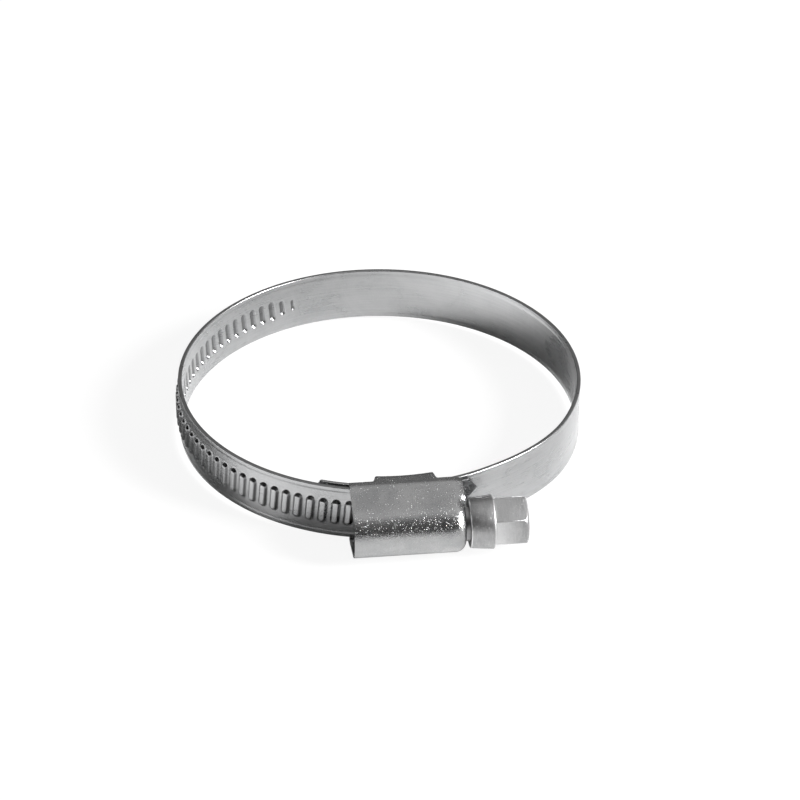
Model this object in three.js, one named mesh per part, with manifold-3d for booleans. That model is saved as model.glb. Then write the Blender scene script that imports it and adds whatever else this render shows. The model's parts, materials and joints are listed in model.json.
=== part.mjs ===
// Worm-drive hose clamp with a 9 mm band and a 7 mm hexagon screw.
//
// +Z runs along the hose, the screw lies along X with its head towards +X, and the housing is at -Y.
// Angles are in degrees round the hose from the middle of the front, growing towards -X, so a place
// on the band right of the front has a small negative angle or one just under 360. All sizes are in
// millimetres. The clamp is drawn fully open, as it is sold.

import * as THREE from 'three';
import { mergeVertices } from 'three/addons/utils/BufferGeometryUtils.js';
import Module from 'manifold-3d';

const wasm = await Module();
wasm.setup();

// band
const bandWidth = 9;
const bandThickness = 0.65;
const bandRadius = 31.66;       // middle of the strip, in the outer layer
const innerLayerRadius = 30.7;  // middle of the strip where it lies under the strap
const riseFrom = 25;            // degrees right of the front where the strip leaves the inner layer
const riseTo = 60;              // and where it reaches the outer one
const toothAngle = 3.6;         // one hundred threads to a full circle
const linkTeeth = 8;
const linkCount = 10;
const linkGap = 0.3;
const strapEndTooth = 19;       // last thread on the rigid strap
const firstTooth = -4;
const lastFullTooth = 42;       // the two threads after it are pressed shallower
const lastTooth = 44;
const lastLinkEnd = 350;        // inside the housing

// pressed threads
const ridgeHeight = 0.5;
const ridgeBase = 1.3;
const ridgeTop = 0.7;
const ridgeLength = 4.5;
const recessScale = 0.8;
const ridgeFlat = 0.02;         // straight part between the slopes above and below
const fadeScales = [0.8, 0.55];

// tail of the strap
const tailAngle = -21.65;
const tailChamfer = 1.5;
const prongInset = 1.9;         // from the band's edge to the point of a prong
const notchDepth = 2.6;

// housing
const sheet = 0.65;
const shellLength = 17;
const shellLeft = -7.8;
const shellHalfWidth = 5.3;
const shellBase = 30.6;         // distance from the hose axis of the straight lower edges
const shoulder = 31.6;          // distance from the hose axis where the sides start to lean in
const crownRadius = 4.25;
const noseFillet = 1.6;
const noseSteps = 4;
const noseSplit = 34.4;         // the nose is rounded only beyond this distance
const strapSlot = 33.2;         // the right end is open up to this distance
const lugLength = 8.6;
const lugRadius = 28.95;
const lipReach = 1.8;
const lipRadius = 29.55;

// saddle and the band's fixed end
const tongueAngle = 23.7;
const stepFrom = 5;
const stepTo = 3;
const saddleRight = -8.6;
const saddleInner = 29.72;
const saddleOuter = 30.22;
const fixedEndFrom = 2.4;
const fixedEndTo = -8.2;

// screw
const screwAxis = 35.4;         // from the hose axis
const wormRadius = 3.35;
const rootRadius = 2.8;
const neckRadius = 2.7;
const neckHole = 3.0;
const wormLeft = -6.4;
const wormRight = 8.2;
const collarLeft = 9.8;
const collarLength = 3.7;
const collarRadiusLeft = 3.8;
const collarRadiusRight = 4.15;
const hexLength = 5.1;
const hexAcrossFlats = 7;
const hexChamfer = 0.5;
const hexTurn = 33.7;           // a corner points this far above the level
const slotWidth = 1.1;
const slotDepth = 1.8;
const meshRadius = 32.27;       // where worm and ridges meet
const threadCrown = 0.5;
const threadRoot = 1.0;
const threadSteps = 16;         // in one turn
const roundSides = 32;

const axisHeight = bandWidth / 2;
const shellRight = shellLeft + shellLength;
const shellMiddle = (shellLeft + shellRight) / 2;
const wormPitch = meshRadius * THREE.MathUtils.degToRad(toothAngle);
const ridgeLean = Math.atan(wormPitch / (2 * Math.PI * wormRadius));
const strapEnd = (strapEndTooth + 0.5) * toothAngle;
const linkAngle = linkTeeth * toothAngle;

const plate = new THREE.MeshStandardMaterial({ color: 0xb4b6b8, roughness: 0.38, metalness: 1 });
const bandSteel = new THREE.MeshStandardMaterial({ color: 0xb9babb, roughness: 0.3, metalness: 1 });
const screwSteel = new THREE.MeshStandardMaterial({ color: 0xc6c7c8, roughness: 0.28, metalness: 1 });

function solidOf(geometry) {
  const bare = geometry.index ? geometry.toNonIndexed() : geometry.clone();
  bare.deleteAttribute('normal');
  bare.deleteAttribute('uv');
  const merged = mergeVertices(bare, 1e-4);
  return new wasm.Manifold(new wasm.Mesh({
    numProp: 3,
    vertProperties: new Float32Array(merged.attributes.position.array),
    triVerts: new Uint32Array(merged.index.array),
  }));
}

function meshOf(solid, name, material) {
  const data = solid.getMesh();
  const geometry = new THREE.BufferGeometry();
  geometry.setAttribute('position', new THREE.BufferAttribute(data.vertProperties, 3));
  geometry.setIndex(new THREE.BufferAttribute(data.triVerts, 1));
  geometry.computeVertexNormals();
  const mesh = new THREE.Mesh(geometry, material);
  mesh.name = name;
  return mesh;
}

function around(angle, radius) {
  const a = THREE.MathUtils.degToRad(angle);
  return new THREE.Vector2(-radius * Math.sin(a), -radius * Math.cos(a));
}

// The middle of the strip: round in the outer layer, and eased down to the inner one near the housing.
function stripRadius(angle) {
  const right = 360 - angle;
  if (right > riseTo) return bandRadius;
  const t = THREE.MathUtils.smoothstep(right, riseFrom, riseTo);
  return THREE.MathUtils.lerp(innerLayerRadius, bandRadius, t);
}

// A wall of the given outline points, standing from low to high.
function standing(points, low, high) {
  const geometry = new THREE.ExtrudeGeometry(new THREE.Shape(points), {
    depth: high - low,
    bevelEnabled: false,
  });
  geometry.translate(0, 0, low);
  return solidOf(geometry);
}

// A bent wall between two radii, which may be functions of the angle.
function sector(from, to, inner, outer, low, high, step = toothAngle) {
  const at = (radius, angle) => around(angle, typeof radius === 'function' ? radius(angle) : radius);
  const closest = 0.05;
  const angles = [from];
  for (let a = (Math.floor(from / step - 0.5) + 1.5) * step; a < to - closest; a += step) {
    if (a > from + closest) angles.push(a);
  }
  angles.push(to);
  const points = angles.map((a) => at(outer, a));
  points.push(...angles.reverse().map((a) => at(inner, a)));
  return standing(points, low, high);
}

// Places a solid drawn flat (x along the band, y up, z outwards) on the band at this angle.
function onBand(geometry, angle, radius, lean = 0) {
  const a = THREE.MathUtils.degToRad(angle);
  const right = new THREE.Vector3(Math.cos(a), -Math.sin(a), 0);
  const up = new THREE.Vector3(0, 0, 1);
  const out = new THREE.Vector3(-Math.sin(a), -Math.cos(a), 0);
  const place = new THREE.Matrix4().makeBasis(right, up, out);
  place.setPosition(out.clone().multiplyScalar(radius).setZ(axisHeight));
  geometry.applyMatrix4(new THREE.Matrix4().makeRotationZ(-lean));
  geometry.applyMatrix4(place);
  return solidOf(geometry);
}

// One pressed thread, widest at z = 0 and narrow at its height above and below.
function ridgeGeometry(scale) {
  const slope = ((ridgeBase - ridgeTop) / 2) * scale;
  const halfWidth = (ridgeTop / 2) * scale;
  const halfLength = (ridgeLength / 2) * scale - slope;
  const top = new THREE.Shape([
    new THREE.Vector2(-halfWidth, -halfLength),
    new THREE.Vector2(halfWidth, -halfLength),
    new THREE.Vector2(halfWidth, halfLength),
    new THREE.Vector2(-halfWidth, halfLength),
  ]);
  return new THREE.ExtrudeGeometry(top, {
    depth: ridgeFlat,
    bevelThickness: ridgeHeight * scale,
    bevelSize: slope,
    bevelSegments: 1,
  });
}

function pressThreads(solid, from, to) {
  const outerFace = (bandRadius + bandThickness / 2) * Math.cos(THREE.MathUtils.degToRad(toothAngle / 2));
  const innerFace = outerFace - bandThickness;
  let pressed = solid;
  for (let tooth = firstTooth; tooth <= lastTooth; tooth += 1) {
    const angle = tooth * toothAngle;
    if (angle < from || angle > to) continue;
    const scale = tooth > lastFullTooth ? fadeScales[tooth - lastFullTooth - 1] : 1;
    pressed = pressed.add(onBand(ridgeGeometry(scale), angle, outerFace, ridgeLean));
    pressed = pressed.subtract(onBand(ridgeGeometry(scale * recessScale), angle, innerFace, ridgeLean));
  }
  return pressed;
}

function strip(from, to) {
  const half = bandThickness / 2;
  const inner = (angle) => stripRadius(angle) - half;
  const outer = (angle) => stripRadius(angle) + half;
  return sector(from, to, inner, outer, 0, bandWidth);
}

function gapAngle(gap) {
  return THREE.MathUtils.radToDeg(gap / bandRadius);
}

// The rigid front of the band, with its fishtail end.
function makeStrap() {
  const body = sector(
    tailAngle,
    strapEnd - gapAngle(linkGap / 2),
    bandRadius - bandThickness / 2,
    bandRadius + bandThickness / 2,
    0,
    bandWidth,
  );
  const beyond = 1;
  const chamferRun = tailChamfer * (1 + beyond / prongInset);
  const half = bandWidth / 2;
  const waste = new THREE.ExtrudeGeometry(new THREE.Shape([
    new THREE.Vector2(beyond, -half - beyond),
    new THREE.Vector2(beyond, half + beyond),
    new THREE.Vector2(-chamferRun, half + beyond),
    new THREE.Vector2(0, half - prongInset),
    new THREE.Vector2(-notchDepth, 0),
    new THREE.Vector2(0, -half + prongInset),
    new THREE.Vector2(-chamferRun, -half - beyond),
  ]), { depth: 3 * beyond, bevelEnabled: false });
  const tail = onBand(waste, tailAngle, bandRadius - 1.5 * beyond);
  return meshOf(pressThreads(body.subtract(tail), tailAngle, strapEnd), 'toothed_strap', bandSteel);
}

// The bending part of the band, as short links hinged end to end.
function makeLinks() {
  const links = [];
  for (let i = 0; i < linkCount; i += 1) {
    const from = strapEnd + i * linkAngle;
    const to = i === linkCount - 1 ? lastLinkEnd : from + linkAngle;
    const half = gapAngle(linkGap / 2);
    const solid = pressThreads(strip(from + half, to - half), from, to);
    const number = String(i + 1).padStart(2, '0');
    links.push(meshOf(solid, `band_link_${number}`, bandSteel));
  }
  return links;
}

// The arch's outline across the screw: straight sides, leaning in to a round crown.
function archOutline(halfWidth, radius, base) {
  const across = halfWidth;
  const down = screwAxis - shoulder;
  const reach = Math.hypot(across, down);
  const lean = Math.atan2(down, across) - Math.acos(radius / reach);
  const outline = new THREE.Shape();
  outline.moveTo(halfWidth, base);
  outline.lineTo(halfWidth, shoulder);
  outline.absarc(0, screwAxis, radius, -lean, Math.PI + lean, false);
  outline.lineTo(-halfWidth, shoulder);
  outline.lineTo(-halfWidth, base);
  return outline;
}

// Stands an outline drawn across the screw (x up the band's width, y away from the hose) along X.
function alongScrew(outline, left, right) {
  const geometry = new THREE.ExtrudeGeometry(outline, {
    depth: right - left,
    bevelEnabled: false,
    curveSegments: roundSides / 2,
  });
  const place = new THREE.Matrix4().makeBasis(
    new THREE.Vector3(0, 0, 1),
    new THREE.Vector3(0, -1, 0),
    new THREE.Vector3(1, 0, 0),
  );
  place.setPosition(left, 0, axisHeight);
  geometry.applyMatrix4(place);
  return solidOf(geometry);
}

// Turns a closed profile of [place along X, radius] points round the screw's axis.
function turned(profile, sides = roundSides) {
  const geometry = new THREE.LatheGeometry(profile.map(([x, r]) => new THREE.Vector2(r, x)), sides);
  const place = new THREE.Matrix4().makeBasis(
    new THREE.Vector3(0, 1, 0),
    new THREE.Vector3(1, 0, 0),
    new THREE.Vector3(0, 0, -1),
  );
  place.setPosition(0, -screwAxis, axisHeight);
  geometry.applyMatrix4(place);
  return solidOf(geometry);
}

function block(left, right, near, far, low, high) {
  return standing([
    new THREE.Vector2(left, -far),
    new THREE.Vector2(right, -far),
    new THREE.Vector2(right, -near),
    new THREE.Vector2(left, -near),
  ], low, high);
}

function makeShell() {
  const beyond = 1;
  const low = axisHeight - shellHalfWidth;
  const high = axisHeight + shellHalfWidth;
  const outside = alongScrew(archOutline(shellHalfWidth, crownRadius, lugRadius), shellLeft, shellRight);

  const dome = [[shellLeft - beyond, 0], [shellLeft - beyond, 2 * crownRadius]];
  dome.push([shellRight - noseFillet, 2 * crownRadius], [shellRight - noseFillet, crownRadius]);
  for (let i = 1; i <= noseSteps; i += 1) {
    const a = (i / noseSteps) * (Math.PI / 2);
    dome.push([
      shellRight - noseFillet * (1 - Math.sin(a)),
      crownRadius - noseFillet * (1 - Math.cos(a)),
    ]);
  }
  dome.push([shellRight, 0]);
  const sides = block(
    shellLeft - beyond, shellRight + beyond, lugRadius - beyond, noseSplit, low - beyond, high + beyond,
  );
  const envelope = turned(dome).add(sides);

  const innerHalf = shellHalfWidth - sheet;
  const innerRadius = crownRadius - sheet;
  const hollow = archOutline(innerHalf, innerRadius, lugRadius - beyond);
  const inside = alongScrew(hollow, shellLeft - beyond, shellRight - sheet);
  const way = block(
    shellRight - 2 * sheet, shellRight + beyond, lugRadius - beyond, strapSlot,
    axisHeight - innerHalf, axisHeight + innerHalf,
  );
  const hole = turned([
    [shellRight - 2 * sheet, 0],
    [shellRight - 2 * sheet, neckHole],
    [shellRight + beyond, neckHole],
    [shellRight + beyond, 0],
  ]);
  const below = block(
    shellLeft - beyond, shellRight + beyond, lugRadius - beyond, shellBase, low - beyond, high + beyond,
  );
  let shell = outside.intersect(envelope).subtract(inside).subtract(way).subtract(hole);
  shell = shell.subtract(below);

  const lugHalf = THREE.MathUtils.radToDeg(lugLength / 2 / lugRadius);
  const lugMiddle = -THREE.MathUtils.radToDeg(shellMiddle / lugRadius);
  const from = lugMiddle - lugHalf;
  const to = lugMiddle + lugHalf;
  const overlap = 0.9;
  for (const [wallLow, wallHigh, lipLow, lipHigh] of [
    [low, low + sheet, low, low + sheet + lipReach],
    [high - sheet, high, high - sheet - lipReach, high],
  ]) {
    shell = shell.add(sector(from, to, lugRadius, shellBase + overlap, wallLow, wallHigh));
    shell = shell.add(sector(from, to, lugRadius, lipRadius, lipLow, lipHigh));
  }
  return meshOf(shell, 'housing_shell', plate);
}

// The saddle's tongue lies under the strap, and its right half steps in to carry the band's fixed end.
function makeSaddle() {
  const half = bandThickness / 2;
  const overlap = 0.5;
  const tongue = sector(stepTo, tongueAngle, innerLayerRadius - half, innerLayerRadius + half, 0, bandWidth);
  const step = sector(stepTo, stepFrom, saddleInner, innerLayerRadius, 0, bandWidth);
  const bed = sector(saddleRight, stepTo + overlap, saddleInner, saddleOuter, 0, bandWidth);
  return meshOf(tongue.add(step).add(bed), 'saddle', plate);
}

function makeFixedEnd() {
  const half = bandThickness / 2;
  const solid = sector(
    fixedEndTo, fixedEndFrom, innerLayerRadius - half, innerLayerRadius + half, 0, bandWidth,
  );
  return meshOf(solid, 'band_fixed_end', bandSteel);
}

// A right-hand helix round X whose frames keep one normal pointing away from the axis.
class ThreadPath extends THREE.Curve {
  constructor(left, right, radius, phase) {
    super();
    Object.assign(this, { left, right, radius, phase });
  }

  angleAt(t) {
    return ((this.left + (this.right - this.left) * t - this.phase) / wormPitch) * 2 * Math.PI;
  }

  getPoint(t, target = new THREE.Vector3()) {
    const a = this.angleAt(t);
    const x = this.left + (this.right - this.left) * t;
    return target.set(x, this.radius * Math.cos(a), this.radius * Math.sin(a));
  }

  computeFrenetFrames(segments) {
    const frames = { tangents: [], normals: [], binormals: [] };
    for (let i = 0; i <= segments; i += 1) {
      const a = this.angleAt(i / segments);
      const round = new THREE.Vector3(0, -Math.sin(a), Math.cos(a));
      const climb = wormPitch / (2 * Math.PI);
      frames.tangents.push(round.clone().multiplyScalar(this.radius).setX(climb).normalize());
      frames.normals.push(new THREE.Vector3(0, Math.cos(a), Math.sin(a)));
      frames.binormals.push(new THREE.Vector3(-1, 0, 0));
    }
    return frames;
  }
}

function makeThread() {
  const sunk = 0.3;
  const spare = 1;
  const base = rootRadius - sunk;
  const turns = (wormRight - wormLeft + 2 * spare) / wormPitch;
  const wider = ((threadRoot - threadCrown) / 2) * (sunk / (wormRadius - rootRadius));
  const section = new THREE.Shape([
    new THREE.Vector2(0, -threadRoot / 2 - wider),
    new THREE.Vector2(wormRadius - base, -threadCrown / 2),
    new THREE.Vector2(wormRadius - base, threadCrown / 2),
    new THREE.Vector2(0, threadRoot / 2 + wider),
  ]);
  const path = new ThreadPath(wormLeft - spare, wormRight + spare, base, wormPitch / 2);
  const geometry = new THREE.ExtrudeGeometry(section, {
    steps: Math.round(turns * threadSteps),
    extrudePath: path,
  });
  geometry.translate(0, -screwAxis, axisHeight);
  const ends = turned([
    [wormLeft, 0],
    [wormLeft, wormRadius + spare],
    [wormRight, wormRadius + spare],
    [wormRight, 0],
  ]);
  return solidOf(geometry).intersect(ends);
}

function makeScrew() {
  const collarRight = collarLeft + collarLength;
  const tip = collarRight + hexLength;
  const overlap = 0.2;
  const core = turned([
    [wormLeft - overlap, 0],
    [wormLeft - overlap, rootRadius],
    [wormRight, rootRadius],
    [wormRight, neckRadius],
    [collarLeft, neckRadius],
    [collarLeft, collarRadiusLeft],
    [collarRight, collarRadiusRight],
    [collarRight, 0],
  ]);

  const corner = hexAcrossFlats / 2 / Math.cos(Math.PI / 6);
  const hex = new THREE.CylinderGeometry(corner, corner, hexLength + overlap, 6);
  hex.rotateZ(Math.PI / 2);
  hex.rotateX(THREE.MathUtils.degToRad(-hexTurn) - Math.PI / 2);
  hex.translate(tip - (hexLength + overlap) / 2, -screwAxis, axisHeight);
  const chamfer = turned([
    [collarRight - 2 * overlap, 0],
    [collarRight - 2 * overlap, corner + overlap],
    [tip - hexChamfer, corner],
    [tip, corner - hexChamfer],
    [tip, 0],
  ]);

  const slot = new THREE.BoxGeometry(2 * slotDepth, slotWidth, 4 * corner);
  slot.rotateX(THREE.MathUtils.degToRad(-hexTurn));
  slot.translate(tip, -screwAxis, axisHeight);
  const head = solidOf(hex).intersect(chamfer).subtract(solidOf(slot));
  return meshOf(core.add(makeThread()).add(head), 'worm_screw', screwSteel);
}

const clamp = new THREE.Group();
clamp.name = 'hose_clamp';
clamp.add(makeShell(), makeSaddle(), makeFixedEnd(), makeScrew(), makeStrap(), ...makeLinks());

// The origin is the middle of the whole clamp's box, at its lowest face.
const box = new THREE.Box3().setFromObject(clamp, true);
const middle = box.getCenter(new THREE.Vector3());
clamp.position.set(-middle.x, -middle.y, -box.min.z);
clamp.updateMatrixWorld(true);

export default clamp;
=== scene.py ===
import json
import math
from functools import partial

import bmesh
import bpy
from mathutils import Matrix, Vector


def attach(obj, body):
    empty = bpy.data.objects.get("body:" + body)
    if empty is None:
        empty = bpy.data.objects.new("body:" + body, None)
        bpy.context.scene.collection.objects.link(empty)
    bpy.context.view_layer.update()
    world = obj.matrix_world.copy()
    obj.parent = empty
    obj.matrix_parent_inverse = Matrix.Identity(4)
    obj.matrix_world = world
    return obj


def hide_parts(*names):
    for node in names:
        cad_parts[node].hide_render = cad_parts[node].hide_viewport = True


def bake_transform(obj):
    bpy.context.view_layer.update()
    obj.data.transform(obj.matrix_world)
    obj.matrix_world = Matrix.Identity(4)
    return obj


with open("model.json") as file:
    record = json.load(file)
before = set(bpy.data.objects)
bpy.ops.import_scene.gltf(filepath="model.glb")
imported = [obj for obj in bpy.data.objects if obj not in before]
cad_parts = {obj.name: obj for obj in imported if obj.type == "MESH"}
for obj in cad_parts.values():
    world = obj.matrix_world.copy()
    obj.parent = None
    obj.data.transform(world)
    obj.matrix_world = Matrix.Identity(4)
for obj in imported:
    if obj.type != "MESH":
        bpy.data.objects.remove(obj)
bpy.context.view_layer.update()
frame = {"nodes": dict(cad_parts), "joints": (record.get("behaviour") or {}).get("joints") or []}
print("frame loaded with", len(frame["nodes"]), "parts")

mm = 0.001
joints = {joint["name"]: joint for joint in frame["joints"]}
hoseAxis = Vector(joints["strap_feed"]["pos_m"])    # middle of the ring, half way up the band
screwAxis = Vector(joints["screw_turn"]["pos_m"])


def addNode(tree, kind, inputs=None, **settings):
    node = tree.nodes.new(kind)
    for name, value in settings.items():
        setattr(node, name, value)
    for key, value in (inputs or {}).items():
        if isinstance(value, bpy.types.NodeSocket):
            tree.links.new(value, node.inputs[key])
        else:
            node.inputs[key].default_value = value
    return node


def calc(tree, operation, *values):
    return addNode(tree, "ShaderNodeMath", dict(enumerate(values)), operation=operation).outputs[0]


def ease(tree, value, low, high, toLow=0.0, toHigh=1.0):
    # smooth step from low to high
    node = addNode(tree, "ShaderNodeMapRange", interpolation_type="SMOOTHSTEP")
    for key, wanted in zip((0, 1, 2, 3, 4), (value, low, high, toLow, toHigh)):
        if isinstance(wanted, bpy.types.NodeSocket):
            tree.links.new(wanted, node.inputs[key])
        else:
            node.inputs[key].default_value = wanted
    return node.outputs[0]


def newTree(name, kind, inputs, outputs):
    tree = bpy.data.node_groups.new(name, kind)
    for label, socketType, default in inputs:
        socket = tree.interface.new_socket(name=label, in_out="INPUT", socket_type=socketType)
        if default is not None:
            socket.default_value = default
    for label, socketType in outputs:
        tree.interface.new_socket(name=label, in_out="OUTPUT", socket_type=socketType)
    source = tree.nodes.new("NodeGroupInput")
    sink = tree.nodes.new("NodeGroupOutput")
    return tree, source, sink


surface = {
    "acrossFineness": 900.0, "rareFrom": 0.84, "rareTo": 0.97, "glintEdge": 0.55, "glintMiddle": 0.2,
    "scratchFrom": 0.73, "scratchTo": 0.78, "scratchRough": 0.06, "leastRough": 0.06,
    "darkBelow": 0.36, "lightAbove": 0.64, "paintedGlintTint": (0.96, 0.96, 0.96),
    "paintedShadeTint": (0.05, 0.05, 0.052),
}


def makeRollingLines():
    # fine lines left by the rolls, long in x and thin in y
    tree, source, sink = newTree(
        "rolling lines", "ShaderNodeTree",
        [("Vector", "NodeSocketVector", None), ("Length", "NodeSocketFloat", 120.0),
         ("Fineness", "NodeSocketFloat", 5200.0)],
        [("Lines", "NodeSocketFloat"), ("Patches", "NodeSocketFloat")],
    )
    stretch = addNode(tree, "ShaderNodeCombineXYZ", {0: source.outputs[1], 1: source.outputs[2],
                                                     2: surface["acrossFineness"]})
    scaled = addNode(tree, "ShaderNodeVectorMath", {0: source.outputs[0], 1: stretch.outputs[0]},
                     operation="MULTIPLY")
    lines = addNode(tree, "ShaderNodeTexNoise", {"Vector": scaled.outputs[0], "Scale": 1.0, "Detail": 4.0,
                                                 "Roughness": 0.6})
    patches = addNode(tree, "ShaderNodeTexNoise", {"Vector": source.outputs[0], "Scale": 210.0,
                                                   "Detail": 5.0, "Roughness": 0.55, "Distortion": 0.6})
    tree.links.new(lines.outputs[0], sink.inputs[0])
    tree.links.new(patches.outputs[0], sink.inputs[1])
    return tree


def makeZincGrain():
    # the plating's crystals: a fine uneven height, and a few that catch the light
    tree, source, sink = newTree(
        "zinc grain", "ShaderNodeTree",
        [("Vector", "NodeSocketVector", None), ("Crystals", "NodeSocketFloat", 4200.0),
         ("Glints", "NodeSocketFloat", 2600.0)],
        [("Height", "NodeSocketFloat"), ("Glint", "NodeSocketFloat")],
    )
    fine = addNode(tree, "ShaderNodeTexNoise", {"Vector": source.outputs[0], "Scale": source.outputs[1],
                                                "Detail": 3.0, "Roughness": 0.7})
    cells = addNode(tree, "ShaderNodeTexVoronoi", {"Vector": source.outputs[0],
                                                   "Scale": source.outputs[2]})
    spread = addNode(tree, "ShaderNodeSeparateColor", {0: cells.outputs["Color"]})
    rare = ease(tree, spread.outputs[0], surface["rareFrom"], surface["rareTo"])
    near = ease(tree, cells.outputs["Distance"], surface["glintEdge"], surface["glintMiddle"])
    glint = calc(tree, "MULTIPLY", rare, near)
    tree.links.new(fine.outputs[0], sink.inputs[0])
    tree.links.new(glint, sink.inputs[1])
    return tree


def makeHandling():
    # smudges, and hairline scratches in two directions
    tree, source, sink = newTree(
        "handling", "ShaderNodeTree",
        [("Vector", "NodeSocketVector", None), ("Smudge Size", "NodeSocketFloat", 130.0)],
        [("Smudge", "NodeSocketFloat"), ("Scratch", "NodeSocketFloat")],
    )
    smudge = addNode(tree, "ShaderNodeTexNoise", {"Vector": source.outputs[0], "Scale": source.outputs[1],
                                                  "Detail": 6.0, "Roughness": 0.62, "Distortion": 1.2})
    found = None
    for turn, seed in ((0.6, 0.013), (-1.0, 0.029)):
        turned = addNode(tree, "ShaderNodeMapping", {"Vector": source.outputs[0],
                                                     "Location": (seed, seed * 0.7, seed * 0.3),
                                                     "Rotation": (turn, turn * 0.5, turn),
                                                     "Scale": (2600.0, 150.0, 600.0)})
        thin = addNode(tree, "ShaderNodeTexNoise",
                       {"Vector": turned.outputs[0], "Scale": 1.0, "Detail": 1.0})
        line = ease(tree, thin.outputs[0], surface["scratchFrom"], surface["scratchTo"])
        found = line if found is None else calc(tree, "MAXIMUM", found, line)
    tree.links.new(smudge.outputs[0], sink.inputs[0])
    tree.links.new(found, sink.inputs[1])
    return tree


rollingLines = makeRollingLines()
zincGrain = makeZincGrain()
handling = makeHandling()


def steel(name, look):
    # one bright-zinc steel; look gives its tint, gloss and how strongly each effect shows
    material = bpy.data.materials.new(name)
    material.use_nodes = True
    tree = material.node_tree
    tree.nodes.clear()
    sink = addNode(tree, "ShaderNodeOutputMaterial")
    shader = addNode(tree, "ShaderNodeBsdfPrincipled", {"Metallic": 1.0, "IOR": 2.2})
    tree.links.new(shader.outputs[0], sink.inputs[0])
    place = addNode(tree, "ShaderNodeTexCoord").outputs["Object"]
    if look["along"]:
        along = addNode(tree, "ShaderNodeAttribute", attribute_name="alongBand").outputs["Vector"]
    else:
        along = place
    lines = addNode(tree, "ShaderNodeGroup", node_tree=rollingLines)
    grain = addNode(tree, "ShaderNodeGroup", node_tree=zincGrain)
    marks = addNode(tree, "ShaderNodeGroup", node_tree=handling)
    tree.links.new(along, lines.inputs["Vector"])
    tree.links.new(place, grain.inputs["Vector"])
    tree.links.new(place, marks.inputs["Vector"])
    lines.inputs["Length"].default_value = look["lineLength"]
    lines.inputs["Fineness"].default_value = look["lineFineness"]
    grain.inputs["Crystals"].default_value = look["crystals"]
    grain.inputs["Glints"].default_value = look["glints"]

    rim = addNode(tree, "ShaderNodeAttribute", attribute_name="rimWear").outputs["Fac"]
    shade = calc(tree, "ADD", calc(tree, "MULTIPLY", lines.outputs["Lines"], look["lineTone"]),
                 calc(tree, "MULTIPLY", marks.outputs["Smudge"], look["smudgeTone"]))
    shade = calc(tree, "ADD", shade, calc(tree, "MULTIPLY", grain.outputs["Height"], look["grainTone"]))
    total = look["lineTone"] + look["smudgeTone"] + look["grainTone"]
    level = ease(tree, shade, surface["darkBelow"] * total, surface["lightAbove"] * total)
    tone = addNode(tree, "ShaderNodeMix", {0: level, 6: (*look["dark"], 1.0), 7: (*look["light"], 1.0)},
                   data_type="RGBA")
    worn = addNode(tree, "ShaderNodeMix", {0: calc(tree, "MULTIPLY", rim, look["rimWear"]),
                                           6: tone.outputs[2], 7: (*look["bare"], 1.0)}, data_type="RGBA")
    # painted highlight: the base colour is lightened towards white on the rare crystals, to stand in for
    # their glints
    paintedGlint = calc(tree, "MULTIPLY", grain.outputs["Glint"], look["paintedGlintTone"])
    bright = addNode(tree, "ShaderNodeMix", {0: paintedGlint, 6: worn.outputs[2],
                                             7: (*surface["paintedGlintTint"], 1.0)}, data_type="RGBA")
    # painted shade and shadow: the base colour goes dark where the strip marks its thread walls, its recess
    # floors and its tail end
    paintedShade = addNode(tree, "ShaderNodeAttribute", attribute_name="paintedThreadShade").outputs["Fac"]
    withPaintedShade = addNode(tree, "ShaderNodeMix", {0: calc(tree, "MULTIPLY", paintedShade, look["paintedShade"]),
                                           6: bright.outputs[2], 7: (*surface["paintedShadeTint"], 1.0)},
                   data_type="RGBA")
    tree.links.new(withPaintedShade.outputs[2], shader.inputs["Base Color"])

    rough = calc(tree, "MULTIPLY_ADD", lines.outputs["Lines"], look["lineRough"], look["rough"])
    rough = calc(tree, "MULTIPLY_ADD", marks.outputs["Smudge"], look["smudgeRough"], rough)
    rough = calc(tree, "MULTIPLY_ADD", grain.outputs["Glint"], look["glintRough"], rough)
    rough = calc(tree, "MULTIPLY_ADD", marks.outputs["Scratch"], surface["scratchRough"], rough)
    tree.links.new(calc(tree, "MAXIMUM", rough, surface["leastRough"]), shader.inputs["Roughness"])

    height = calc(tree, "MULTIPLY", grain.outputs["Height"], look["grainHeight"])
    height = calc(tree, "MULTIPLY_ADD", grain.outputs["Glint"], look["glintHeight"], height)
    height = calc(tree, "MULTIPLY_ADD", lines.outputs["Lines"], look["lineHeight"], height)
    height = calc(tree, "MULTIPLY_ADD", lines.outputs["Patches"], look["waveHeight"], height)
    height = calc(tree, "MULTIPLY_ADD", marks.outputs["Scratch"], -look["scratchHeight"], height)
    bump = addNode(tree, "ShaderNodeBump", {"Height": height, "Distance": 1.0, "Strength": 1.0})
    tree.links.new(bump.outputs[0], shader.inputs["Normal"])
    return material


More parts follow.
